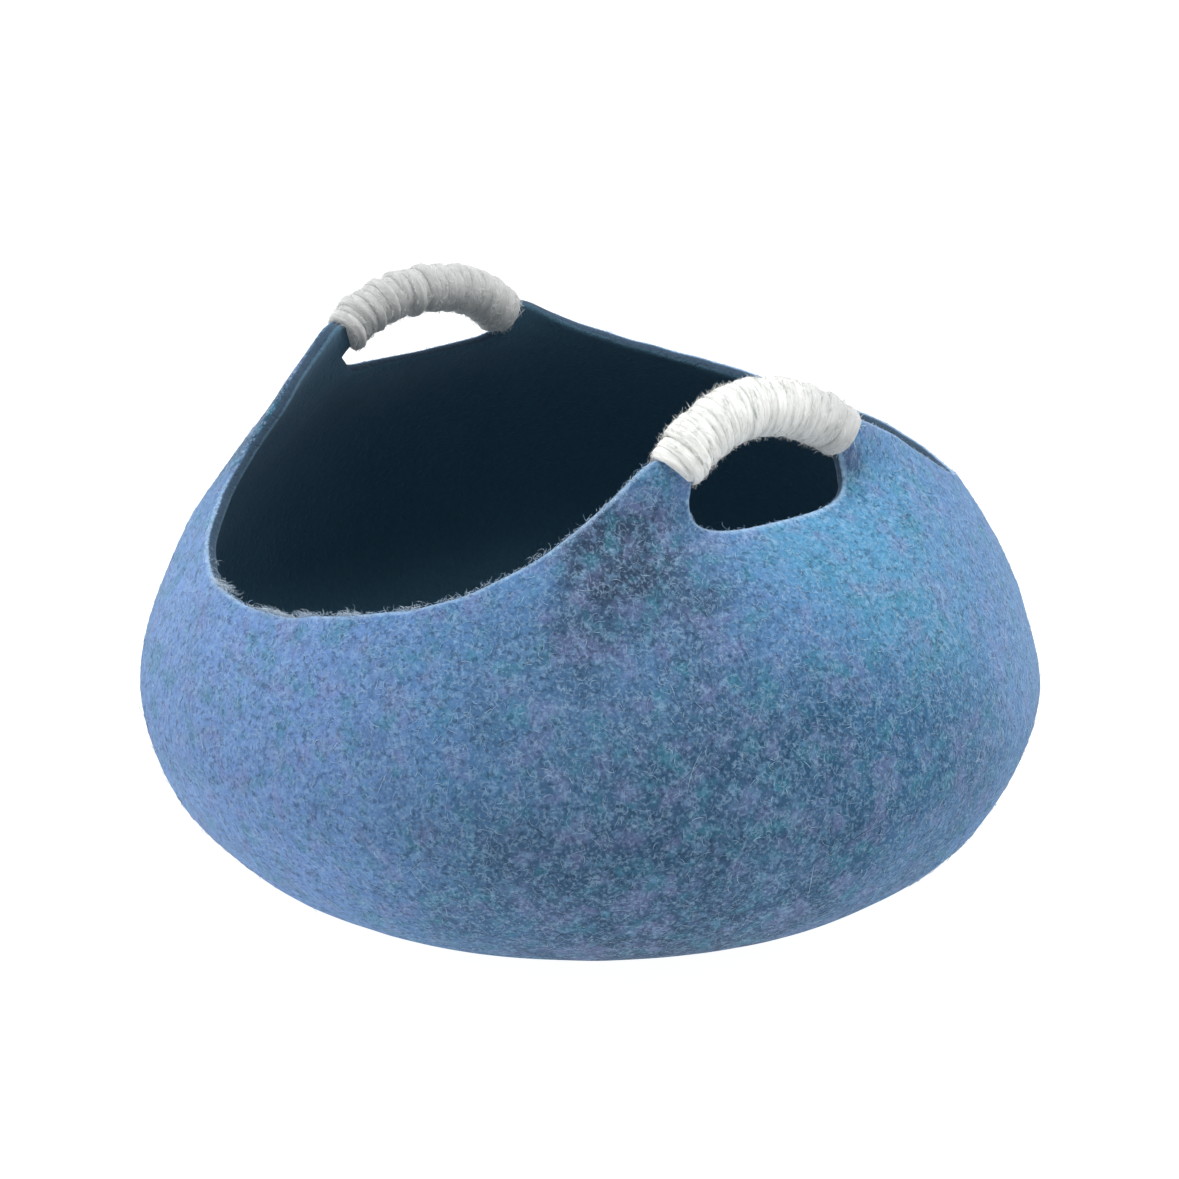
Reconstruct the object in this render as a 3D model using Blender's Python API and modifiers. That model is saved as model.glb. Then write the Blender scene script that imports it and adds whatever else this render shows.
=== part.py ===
"""Open felt cat basket: a seamless wet-felted wool bowl with two wrapped hand grips.

Metres, +Z up.  The origin is the middle of the flat base.  The two handles lie at +X (right) and -X (left),
and the rim dips at -Y (front) and +Y (back).  Angles run round the bowl in degrees, anticlockwise from +X.
"""
from collections import namedtuple
from math import radians

import bpy
import numpy as np

# --- driving dimensions ------------------------------------------------------------------------------------
BELLY_DIAMETER = 0.450      # widest part of the bowl
BELLY_HEIGHT = 0.0884       # height of the widest part
BASE_DIAMETER = 0.304       # flat round that rests on the floor
CROWN_RISE = 0.2143         # height above the belly at which the round wall would close
LOWER_FULLNESS = 1.69       # power of the curve below the belly; 2 is an ellipse
UPPER_FULLNESS = 1.635      # power of the curve above the belly
FELT = 0.007                # thickness of the felt

STRIP_WIDTH = 0.014         # felt strip inside the yarn
NECK_OUTWARD = 0.0135       # felt beside the end of the yarn, from the grip's centre line to the rim
SLOT_SQUARENESS = 3.5       # power of a hand slot's lower corners; 2 is an ellipse
PANEL_BLEND = 0.050         # height over which the round wall turns into the flat handle panel

YARN_TURNS = 22             # raised turns on a grip
TURN_DEPTH = 0.0010         # groove between two turns
YARN_END_ROUND = 0.10       # share of its radius that a grip loses at its very ends
CLEARANCE = 0.0010          # between the strip and the yarn, all round
END_GAP = 0.0018            # between the yarn's end and the neck, along the grip

# One row for each handle.  middle_y and tilt (degrees) are as uneven as the hand-made original.
# The grip's centre line is an arc over grip_reach either side of its middle; it is grip_across thick in the
# plane of the wall and grip_through thick through it.  panel is the upright handle panel's distance from the
# bowl's middle at each height; shoulder_* say how it turns back into the round.
Handle = namedtuple("Handle", "name side middle_y tilt grip_reach grip_end_z grip_top_z grip_across grip_through "
                    "neck_inward slot_floor_z slot_half slot_corner panel_from_z panel "
                    "shoulder_start shoulder_end shoulder_limit")
HANDLES = (
    Handle("right", 1, -0.0025, -0.7, 0.0530, 0.2394, 0.2619, 0.0262, 0.0242,
           0.0135, 0.2110, 0.0465, 0.012, 0.175,
           ((0.180, 0.1810), (0.211, 0.1475), (0.240, 0.1405), (0.262, 0.1308), (0.280, 0.1225)),
           18.0, 57.0, 39.0),
    Handle("left", -1, -0.0047, -5.0, 0.0542, 0.2410, 0.2607, 0.0240, 0.0218,
           0.0080, 0.2245, 0.0440, 0.002, 0.184,
           ((0.180, 0.1835), (0.2245, 0.1430), (0.241, 0.1357), (0.261, 0.1322), (0.275, 0.1297)),
           22.0, 69.0, 36.0),
)

# Rim between the handles: angle, height
RIM_FRONT = ((-38, 0.2230), (-50, 0.2005), (-62, 0.1848), (-75, 0.1745), (-88, 0.1660), (-100, 0.1650),
             (-112, 0.1710), (-125, 0.1950), (-135, 0.2285), (-145, 0.2445))
RIM_BACK = ((-215, 0.2265), (-225, 0.2150), (-240, 0.2045), (-255, 0.1945), (-270, 0.1908), (-285, 0.1870),
            (-298, 0.1850), (-310, 0.2010), (-322, 0.2255))

# --- mesh steps ----------------------------------------------------------------------------------------------
STRIP_STEPS = 6             # columns from a grip's middle to its end
WALL_STEPS = 18             # columns between two necks
LOWER_ROWS = 12             # base edge to slot floor
SLOT_ROWS = 2               # slot floor to strip
STRIP_ROWS = 2              # strip to rim
BASE_RINGS = 3
BAND_BELOW_RIM = 0.024      # height of the bands of rows under the open rim
NECK_SHARE = 0.3            # share of the open wall over which a neck's rows turn into those bands
BASE_SPREAD = 1.6           # how far a handle's columns fan out on their way down to the base
STEPS_PER_TURN = 3          # along the grip, for each raised turn
RING_POINTS = 12            # round the grip

RIM, SLOT_TOP, FLOOR, BASE = range(4)      # the four keys of a column, top to bottom

RUN_TO_HEIGHT = 0.30        # the wall's length is measured up to this height, in RUN_STEPS steps
RUN_STEPS = 1201
END_POWER = 22              # how suddenly a grip's ends round off
SMALL_TURN = radians(0.5)   # steps that find the wall's slope
SMALL_STEP = 0.0005
ANGLE_PASSES = 30           # repeats that settle the angle of a point on the wall
OUTLINE_POINTS = 181        # points on a hand slot's outline before it is shared out
SHARP_EDGE = radians(50)    # faces that meet at more than this keep a crisp edge

BELLY_RADIUS = BELLY_DIAMETER / 2
BASE_RADIUS = BASE_DIAMETER / 2


# --- curves --------------------------------------------------------------------------------------------------
def smooth_step(share):
    """0 below 0, 1 above 1, and an S between."""
    share = np.clip(share, 0.0, 1.0)
    return share * share * (3 - 2 * share)


def smooth_curve(at, table):
    """Value at `at` on a cubic curve through the table's rows (place, value), straight on past its ends."""
    rows = np.array(sorted(table), dtype=float)
    place, value = rows[:, 0], rows[:, 1]
    slope = np.gradient(value, place)
    k = np.clip(np.searchsorted(place, at) - 1, 0, len(place) - 2)
    width = place[k + 1] - place[k]
    u = (at - place[k]) / width
    v = np.clip(u, 0.0, 1.0)
    curve = ((1 + 2 * v) * (1 - v) ** 2 * value[k] + v * (1 - v) ** 2 * width * slope[k]
             + v * v * (3 - 2 * v) * value[k + 1] - v * v * (1 - v) * width * slope[k + 1])
    return curve + (u - v) * width * np.where(u > 1, slope[k + 1], slope[k])


def even_points(points, shares):
    """Points at the given shares of a polyline's length."""
    run = np.r_[0.0, np.cumsum(np.linalg.norm(np.diff(points, axis=0), axis=1))]
    return np.stack([np.interp(shares * run[-1], run, axis) for axis in points.T], axis=-1)


# --- the wall's outer face -----------------------------------------------------------------------------------
def round_radius(z):
    """Radius of the round wall: one power curve from the base to the belly, another from there up."""
    below = np.clip(1 - z / BELLY_HEIGHT, 0, 1)
    above = np.clip((z - BELLY_HEIGHT) / CROWN_RISE, 0, 1)
    low = BASE_RADIUS + (BELLY_RADIUS - BASE_RADIUS) * (1 - below ** LOWER_FULLNESS) ** (1 / LOWER_FULLNESS)
    high = BELLY_RADIUS * (1 - above ** UPPER_FULLNESS) ** (1 / UPPER_FULLNESS)
    return np.where(z < BELLY_HEIGHT, low, high)


def wall_radius(angle, z):
    """Radius at an angle (degrees) and height: the round wall, blended into a flat panel at each handle."""
    toward = np.cos(np.radians(angle))
    from_axis = np.degrees(np.arccos(np.clip(np.abs(toward), 0, 1)))
    radius = round_radius(z)
    result = radius
    for handle in HANDLES:
        turn = smooth_step((handle.shoulder_end - from_axis) / (handle.shoulder_end - handle.shoulder_start))
        rise = smooth_step((z - handle.panel_from_z) / PANEL_BLEND)
        bend = np.radians(handle.shoulder_limit * np.tanh(from_axis / handle.shoulder_limit))
        panel = smooth_curve(z, handle.panel) / np.cos(bend)
        result = np.where(toward * handle.side > 0, radius + turn * rise * (panel - radius), result)
    return result


def wall_point(angle, z):
    """Point on the outer face at an angle (degrees) and height."""
    radius = wall_radius(angle, z)
    return np.stack([radius * np.cos(np.radians(angle)), radius * np.sin(np.radians(angle)), z], axis=-1)


def wall_angle(handle, y, z):
    """Angle (degrees) at which the handle's wall has this y at this height."""
    base = 0.0 if handle.side > 0 else -180.0
    angle = np.full(np.shape(y), base)
    for _ in range(ANGLE_PASSES):
        angle = base + handle.side * np.degrees(np.arcsin(np.clip(y / wall_radius(angle, z), -1, 1)))
    return angle


# --- handle outlines, as (y, z) seen along X -----------------------------------------------------------------
def grip_arc(handle):
    """Radius, centre height and end angle (radians) of the arc that a grip's centre line follows."""
    rise = handle.grip_top_z - handle.grip_end_z
    radius = (handle.grip_reach ** 2 + rise ** 2) / (2 * rise)
    return radius, handle.grip_top_z - radius, np.arcsin(handle.grip_reach / radius)


def grip_yz(handle, phi, offset):
    """Point of the grip at angle phi from its top and `offset` outside its centre line."""
    radius, centre_z, _ = grip_arc(handle)
    y = (radius + offset) * np.sin(phi)
    z = centre_z + (radius + offset) * np.cos(phi) - handle.grip_top_z
    tilt = radians(handle.tilt)
    return (handle.middle_y + y * np.cos(tilt) - z * np.sin(tilt),
            handle.grip_top_z + y * np.sin(tilt) + z * np.cos(tilt))


def strip_angles(handle):
    """Angles along the grip of the strip's columns, from +y to -y, with the neck beyond each end."""
    radius, _, end = grip_arc(handle)
    inner = end + END_GAP / radius
    neck = inner + (NECK_OUTWARD - STRIP_WIDTH / 2) / 2 / radius
    phi = np.linspace(inner, -inner, 2 * STRIP_STEPS + 1)
    return np.r_[neck, phi, -neck]


def handle_columns(handle):
    """Rim, slot top, slot floor and base keys of a handle's columns, as angle and height each."""
    phi = strip_angles(handle)
    outward = np.full(len(phi), STRIP_WIDTH / 2)
    inward = outward.copy()
    outward[[0, -1]] = NECK_OUTWARD
    inward[[0, -1]] = handle.neck_inward
    rim = grip_yz(handle, phi, outward)
    slot_top = grip_yz(handle, phi, -inward)
    turn = np.linspace(np.pi / 2, -np.pi / 2, OUTLINE_POINTS)
    lift = 1 - np.abs(np.cos(turn)) ** (2 / SLOT_SQUARENESS)
    across = np.sign(turn) * np.abs(np.sin(turn)) ** (2 / SLOT_SQUARENESS)
    outline = np.stack([handle.slot_half * across, handle.slot_corner * lift], axis=-1)
    floor = even_points(outline, np.linspace(0, 1, len(phi))).T + [[handle.middle_y], [handle.slot_floor_z]]
    keys = [(wall_angle(handle, *key), key[1]) for key in (rim, slot_top, floor)]
    if handle.side < 0:
        keys = [(angle[::-1], z[::-1]) for angle, z in keys]
    middle = 0.0 if handle.side > 0 else -180.0
    keys.append((middle + BASE_SPREAD * (keys[FLOOR][0] - middle), np.zeros(len(phi))))
    return keys


def wall_columns(start, end, rim_table):
    """The same keys for the columns of the open wall between two necks, ends left out."""
    share = np.linspace(0, 1, WALL_STEPS + 1)
    angles = [np.interp(share, [0, 1], [start[k][0][-1], end[k][0][0]]) for k in range(4)]
    table = ((start[0][0][-1], start[0][1][-1]),) + rim_table + ((end[0][0][0], end[0][1][0]),)
    rim_z = smooth_curve(angles[0], table)
    heights = [rim_z]
    for k, drop in ((SLOT_TOP, BAND_BELOW_RIM), (FLOOR, 2 * BAND_BELOW_RIM)):
        first = rim_z[0] - start[k][1][-1]
        last = rim_z[-1] - end[k][1][0]
        own = np.interp(share, [0, 1], [first, last])
        calm = smooth_step(share / NECK_SHARE) * smooth_step((1 - share) / NECK_SHARE)
        heights.append(rim_z - own - calm * (drop - own))
    heights.append(np.zeros(len(share)))
    return [(angle[1:-1], z[1:-1]) for angle, z in zip(angles, heights)]


def bowl_columns():
    """All columns round the bowl, and for each whether the cell after it is open at slot height."""
    right, left = (handle_columns(handle) for handle in HANDLES)
    right_again = [(angle - 360, z) for angle, z in right]
    front = wall_columns(right, left, RIM_FRONT)
    back = wall_columns(left, right_again, RIM_BACK)
    parts = (right, front, left, back)
    keys = [np.concatenate([part[k][0] for part in parts]) for k in range(4)]
    heights = [np.concatenate([part[k][1] for part in parts]) for k in range(4)]
    open_cells = []
    for part, slotted in zip(parts, (True, False, True, False)):
        count = len(part[0][0])
        open_cells += [slotted and i < count - 1 for i in range(count)]
    return keys, heights, np.array(open_cells)


def blend(low, high, share):
    """Value that lies the given share of the way from low to high."""
    return low + share * (high - low)


def bowl_grid(keys, heights):
    """Grid of outer points: rows from the middle of the base out, up the wall and to the rim."""
    around = np.radians(keys[BASE])
    circle = np.stack([np.cos(around), np.sin(around), np.zeros(len(around))], axis=-1)
    rows = [circle * BASE_RADIUS * ring / BASE_RINGS for ring in range(1, BASE_RINGS)]

    dense_z = np.linspace(0, RUN_TO_HEIGHT, RUN_STEPS)
    outline = np.stack([round_radius(dense_z), dense_z], axis=-1)
    run = np.r_[0.0, np.cumsum(np.linalg.norm(np.diff(outline, axis=0), axis=1))]
    floor_run = np.interp(heights[FLOOR], dense_z, run)
    for share in np.arange(LOWER_ROWS) / LOWER_ROWS:
        angle = blend(keys[BASE], keys[FLOOR], share ** 2)
        rows.append(wall_point(angle, np.interp(share * floor_run, run, dense_z)))
    for low, high, count in ((FLOOR, SLOT_TOP, SLOT_ROWS), (SLOT_TOP, RIM, STRIP_ROWS)):
        for share in np.arange(count) / count:
            rows.append(wall_point(blend(keys[low], keys[high], share),
                                   blend(heights[low], heights[high], share)))
    rows.append(wall_point(keys[RIM], heights[RIM]))
    return np.array(rows)


def bowl_faces(row_count, column_count, open_cells):
    """Quads of the grid, without those in the hand slots, and the fan in the middle of the base."""
    slot_start = BASE_RINGS - 1 + LOWER_ROWS
    index = np.arange(row_count * column_count).reshape(row_count, column_count)
    beside = np.roll(index, -1, axis=1)
    faces = []
    for row in range(row_count - 1):
        for column in range(column_count):
            if open_cells[column] and slot_start <= row < slot_start + SLOT_ROWS:
                continue
            faces.append((index[row, column], index[row + 1, column], beside[row + 1, column],
                          beside[row, column]))
    middle = row_count * column_count
    faces += [(middle, index[0, column], beside[0, column]) for column in range(column_count)]
    return faces


# --- yarn grips ----------------------------------------------------------------------------------------------
def beside_wall(handle, phi, offset, out):
    """Point of the grip at angle phi, `offset` outside its centre line and `out` in front of the outer face."""
    def on_wall(at, away):
        y, z = grip_yz(handle, at, away)
        return wall_point(wall_angle(handle, y, z), z)

    along = on_wall(phi + SMALL_TURN, offset) - on_wall(phi - SMALL_TURN, offset)
    across = on_wall(phi, offset + SMALL_STEP) - on_wall(phi, offset - SMALL_STEP)
    normal = np.cross(along, across) * handle.side
    normal /= np.linalg.norm(normal, axis=-1, keepdims=True)
    return on_wall(phi, offset) + normal * out[..., None]


def grip_rings(handle):
    """Rings of a wound grip: its ribbed outside from end to end, then the slot for the strip, back again."""
    end = grip_arc(handle)[2]
    share = np.linspace(0, 1, YARN_TURNS * STEPS_PER_TURN + 1)[:, None]
    groove = TURN_DEPTH * (1 - np.abs(np.sin(np.pi * YARN_TURNS * share)))
    end_round = 1 - YARN_END_ROUND * np.abs(2 * share - 1) ** END_POWER
    turn = np.linspace(0, 2 * np.pi, RING_POINTS, endpoint=False)
    across = (handle.grip_across / 2 * end_round - groove) * np.cos(turn)
    through = (handle.grip_through / 2 * end_round - groove) * np.sin(turn)
    outside = beside_wall(handle, end - 2 * end * share, across, through - FELT / 2)

    back = np.linspace(-end, end, 2 * STRIP_STEPS + 1)[:, None]
    across = (STRIP_WIDTH / 2 + CLEARANCE) * np.array([1, 1, 0.5, 0, -0.5, -1, -1, -1, -0.5, 0, 0.5, 1])
    through = (FELT / 2 + CLEARANCE) * np.array([0, 1, 1, 1, 1, 1, 0, -1, -1, -1, -1, -1])
    across, through = (np.broadcast_to(part, (len(back), RING_POINTS)) for part in (across, through))
    return np.concatenate([outside, beside_wall(handle, back, across, through - FELT / 2)])


def ring_faces(ring_count, point_count):
    """Quads between each ring and the next, the last ring joined to the first."""
    index = np.arange(ring_count * point_count).reshape(ring_count, point_count)
    after = np.roll(index, -1, axis=0)
    corners = (index, np.roll(index, -1, axis=1), np.roll(after, -1, axis=1), after)
    return np.stack(corners, axis=-1).reshape(-1, 4)


# --- objects -------------------------------------------------------------------------------------------------
def make_material(name, colour, roughness):
    """Matt material of one plain colour."""
    material = bpy.data.materials.new(name)
    material.use_nodes = True
    shader = material.node_tree.nodes["Principled BSDF"]
    shader.inputs["Base Color"].default_value = (*colour, 1)
    shader.inputs["Roughness"].default_value = roughness
    shader.inputs["Metallic"].default_value = 0.0
    return material


def add_object(collection, name, points, faces, material):
    """Smooth-shaded mesh object in the basket's collection."""
    mesh = bpy.data.meshes.new(name)
    mesh.from_pydata([tuple(point) for point in points], [], [tuple(int(i) for i in face) for face in faces])
    mesh.materials.append(material)
    mesh.shade_smooth()
    mesh.set_sharp_from_angle(angle=SHARP_EDGE)
    item = bpy.data.objects.new(name, mesh)
    collection.objects.link(item)
    return item


def add_bowl(collection, material):
    """The felt: its outer face, thickened inwards."""
    keys, heights, open_cells = bowl_columns()
    grid = bowl_grid(keys, heights)
    points = np.concatenate([grid.reshape(-1, 3), [[0.0, 0.0, 0.0]]])
    bowl = add_object(collection, "felt_bowl", points, bowl_faces(*grid.shape[:2], open_cells), material)
    wall = bowl.modifiers.new("felt thickness", 'SOLIDIFY')
    wall.thickness = FELT
    wall.offset = -1.0
    wall.use_quality_normals = True


def add_grip(collection, handle, material):
    """One wound grip round a handle's felt strip."""
    rings = grip_rings(handle)
    faces = ring_faces(*rings.shape[:2])
    if handle.side > 0:
        faces = faces[:, ::-1]
    add_object(collection, "grip_yarn_" + handle.name, rings.reshape(-1, 3), faces, material)


def main():
    for item in list(bpy.data.objects):
        bpy.data.objects.remove(item, do_unlink=True)
    collection = bpy.data.collections.new("felt cat basket")
    bpy.context.scene.collection.children.link(collection)
    felt = make_material("blue wool felt", (0.085, 0.215, 0.405), 0.95)
    yarn = make_material("off-white wool yarn", (0.72, 0.71, 0.68), 0.95)
    add_bowl(collection, felt)
    for handle in HANDLES:
        add_grip(collection, handle, yarn)


main()
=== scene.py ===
"""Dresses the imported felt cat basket: a marled blue wool felt shell with a dark inner layer, and two hand
grips wound with pale wool yarn.

Metres, +Z up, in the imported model's frame: the origin is the middle of the flat base, the grips lie at +X
(right) and -X (left), and the rim dips at -Y (front) and +Y (back).  Angles run anticlockwise from +X.
"""
from collections import namedtuple
from functools import partial
from math import cos, radians, sin

import bpy
import numpy as np
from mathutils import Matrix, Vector


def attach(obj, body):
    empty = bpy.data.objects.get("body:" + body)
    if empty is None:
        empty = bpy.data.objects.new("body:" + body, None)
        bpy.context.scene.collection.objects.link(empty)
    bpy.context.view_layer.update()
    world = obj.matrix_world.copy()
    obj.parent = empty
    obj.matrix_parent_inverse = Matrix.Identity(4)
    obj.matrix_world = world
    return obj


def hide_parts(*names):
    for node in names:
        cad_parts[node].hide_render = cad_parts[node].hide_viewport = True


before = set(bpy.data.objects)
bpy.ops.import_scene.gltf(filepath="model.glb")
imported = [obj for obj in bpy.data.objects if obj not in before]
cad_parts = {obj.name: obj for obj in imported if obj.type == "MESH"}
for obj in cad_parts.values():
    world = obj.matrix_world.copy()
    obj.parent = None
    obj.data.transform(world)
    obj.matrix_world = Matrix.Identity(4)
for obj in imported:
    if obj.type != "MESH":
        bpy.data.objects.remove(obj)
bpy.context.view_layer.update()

# --- the basket's own sizes, as in its source ---
BELLY_RADIUS = 0.225
BELLY_HEIGHT = 0.0884
BASE_RADIUS = 0.152
CROWN_RISE = 0.2143         # height above the belly at which the round wall would close
LOWER_FULLNESS = 1.69       # powers of the wall's two curves; 2 is an ellipse
UPPER_FULLNESS = 1.635
FELT = 0.007                # thickness of the felt
STRIP_WIDTH = 0.014         # felt strip inside the yarn
NECK_OUTWARD = 0.0135       # felt beside the end of the yarn, from the grip's centre line to the rim
NECK_PLACES = (0.0050, -0.0008, -0.0045)       # past the yarn's end: full neck, just in the yarn, bare strip
NECK_IN_YARN = 0.40         # half width of the felt just inside the yarn, as a share of the grip's
SLOT_SQUARENESS = 3.5
PANEL_BLEND = 0.050
YARN_TURNS = 22

Handle = namedtuple("Handle", "name side middle_y tilt grip_reach grip_end_z grip_top_z grip_across "
                    "grip_through neck_inward slot_floor_z slot_half slot_corner panel_from_z panel "
                    "shoulder_start shoulder_end shoulder_limit")
HANDLES = (
    Handle("right", 1, -0.0025, -0.7, 0.0530, 0.2394, 0.2619, 0.0262, 0.0242,
           0.0135, 0.2110, 0.0465, 0.012, 0.175,
           ((0.180, 0.1810), (0.211, 0.1475), (0.240, 0.1405), (0.262, 0.1308), (0.280, 0.1225)),
           18.0, 57.0, 39.0),
    Handle("left", -1, -0.0047, -5.0, 0.0542, 0.2410, 0.2607, 0.0240, 0.0218,
           0.0080, 0.2245, 0.0440, 0.002, 0.184,
           ((0.180, 0.1835), (0.2245, 0.1430), (0.241, 0.1357), (0.261, 0.1322), (0.275, 0.1297)),
           22.0, 69.0, 36.0),
)
RIM_FRONT = ((-38, 0.2230), (-50, 0.2005), (-62, 0.1848), (-75, 0.1745), (-88, 0.1660), (-100, 0.1650),
             (-112, 0.1710), (-125, 0.1950), (-135, 0.2285), (-145, 0.2445))
RIM_BACK = ((-215, 0.2265), (-225, 0.2150), (-240, 0.2045), (-255, 0.1945), (-270, 0.1908), (-285, 0.1870),
            (-298, 0.1850), (-310, 0.2010), (-322, 0.2255))

# --- mesh steps ---
STRIP_STEPS = 10            # columns from a grip's middle to its end
WALL_STEPS = 60             # columns between two necks
LOWER_ROWS = 34             # base edge to slot floor
SLOT_ROWS = 4               # slot floor to strip
STRIP_ROWS = 5              # strip to rim
BASE_RINGS = 8
SLOT_ROW = BASE_RINGS - 1 + LOWER_ROWS     # the grid's row at the slot floors
BAND_BELOW_RIM = 0.024
NECK_SHARE = 0.3
BASE_SPREAD = 1.6
RIM, SLOT_TOP, FLOOR, BASE = range(4)      # the four keys of a column, top to bottom
RUN_TO_HEIGHT = 0.30
RUN_STEPS = 1201
ANGLE_PASSES = 30
OUTLINE_POINTS = 181
SMALL_TURN = radians(0.5)
SMALL_STEP = 0.0005

# --- how uneven the hand felting is ---
LUMP_LENGTH = 0.070         # broad waves of the wall
LUMP_HEIGHT = 0.00045
DIMPLE_LENGTH = 0.022       # small waves between them
DIMPLE_HEIGHT = 0.00016
RIM_WOBBLE = 0.0003         # up and down of the trimmed rim
THICKNESS_LENGTH = 0.050
THICKNESS_SWING = 0.06      # share by which the felt gets thicker and thinner
FLAT_UP_TO = 0.012          # the waves fade out below this height, so that the base stays flat


# --- curves and waves ---
def smooth_step(share):
    """0 below 0, 1 above 1, and an S between: s squared times three less two s."""
    share = np.clip(share, 0.0, 1.0)
    return share * share * (3 - 2 * share)


def smooth_curve(at, table):
    """Value at `at` on a cubic curve through the table's rows (place, value), straight on past its ends."""
    rows = np.array(sorted(table), dtype=float)
    place, value = rows[:, 0], rows[:, 1]
    slope = np.gradient(value, place)
    k = np.clip(np.searchsorted(place, at) - 1, 0, len(place) - 2)
    width = place[k + 1] - place[k]
    u = (at - place[k]) / width
    v = np.clip(u, 0.0, 1.0)
    curve = ((1 + 2 * v) * (1 - v) ** 2 * value[k] + v * (1 - v) ** 2 * width * slope[k]
             + v * v * (3 - 2 * v) * value[k + 1] - v * v * (1 - v) * width * slope[k + 1])
    return curve + (u - v) * width * np.where(u > 1, slope[k + 1], slope[k])


def even_points(points, shares):
    """Points at the given shares of a polyline's length."""
    run = np.r_[0.0, np.cumsum(np.linalg.norm(np.diff(points, axis=0), axis=1))]
    return np.stack([np.interp(shares * run[-1], run, axis) for axis in points.T], axis=-1)


def waves(points, length, seed, count=28):
    """Smooth unevenness, about -1 to 1: a sum of sine waves of about one length, in random directions."""
    chance = np.random.default_rng(seed)
    points = np.asarray(points, dtype=float)
    points = points[..., None] if points.ndim == 1 else points
    heading = chance.normal(size=(points.shape[-1], count))
    heading /= np.linalg.norm(heading, axis=0)
    heading *= 2 * np.pi / (length * chance.uniform(0.7, 1.6, count))
    return np.sin(points @ heading + chance.uniform(0, 2 * np.pi, count)).sum(axis=-1) * np.sqrt(2 / count)


def unit(vectors):
    """Vectors of length 1 in the same directions."""
    return vectors / np.maximum(np.linalg.norm(vectors, axis=-1, keepdims=True), 1e-12)


# --- the wall's outer face ---
def round_radius(z):
    """Radius of the round wall: one power curve from the base to the belly, another from there up."""
    below = np.clip(1 - z / BELLY_HEIGHT, 0, 1)
    above = np.clip((z - BELLY_HEIGHT) / CROWN_RISE, 0, 1)
    low = BASE_RADIUS + (BELLY_RADIUS - BASE_RADIUS) * (1 - below ** LOWER_FULLNESS) ** (1 / LOWER_FULLNESS)
    high = BELLY_RADIUS * (1 - above ** UPPER_FULLNESS) ** (1 / UPPER_FULLNESS)
    return np.where(z < BELLY_HEIGHT, low, high)


def wall_radius(angle, z):
    """Radius at an angle (degrees) and height: the round wall, blended into a flat panel at each handle."""
    toward = np.cos(np.radians(angle))
    from_axis = np.degrees(np.arccos(np.clip(np.abs(toward), 0, 1)))
    radius = round_radius(z)
    result = radius
    for handle in HANDLES:
        turn = smooth_step((handle.shoulder_end - from_axis) / (handle.shoulder_end - handle.shoulder_start))
        rise = smooth_step((z - handle.panel_from_z) / PANEL_BLEND)
        bend = np.radians(handle.shoulder_limit * np.tanh(from_axis / handle.shoulder_limit))
        panel = smooth_curve(z, handle.panel) / np.cos(bend)
        result = np.where(toward * handle.side > 0, radius + turn * rise * (panel - radius), result)
    return result


def wall_point(angle, z):
    """Point on the outer face at an angle (degrees) and height."""
    radius = wall_radius(angle, z)
    return np.stack([radius * np.cos(np.radians(angle)), radius * np.sin(np.radians(angle)), z], axis=-1)


def wall_angle(handle, y, z):
    """Angle (degrees) at which the handle's wall has this y at this height."""
    base = 0.0 if handle.side > 0 else -180.0
    angle = np.full(np.shape(y), base)
    for _ in range(ANGLE_PASSES):
        angle = base + handle.side * np.degrees(np.arcsin(np.clip(y / wall_radius(angle, z), -1, 1)))
    return angle


# --- handle outlines, as (y, z) seen along X ---
def grip_arc(handle):
    """Radius, centre height and end angle (radians) of the arc that a grip's centre line follows."""
    rise = handle.grip_top_z - handle.grip_end_z
    radius = (handle.grip_reach ** 2 + rise ** 2) / (2 * rise)
    return radius, handle.grip_top_z - radius, np.arcsin(handle.grip_reach / radius)


def grip_yz(handle, phi, offset):
    """Point of the grip at angle phi from its top and `offset` outside its centre line."""
    radius, centre_z, _ = grip_arc(handle)
    y = (radius + offset) * np.sin(phi)
    z = centre_z + (radius + offset) * np.cos(phi) - handle.grip_top_z
    tilt = radians(handle.tilt)
    return (handle.middle_y + y * np.cos(tilt) - z * np.sin(tilt),
            handle.grip_top_z + y * np.sin(tilt) + z * np.cos(tilt))


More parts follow.
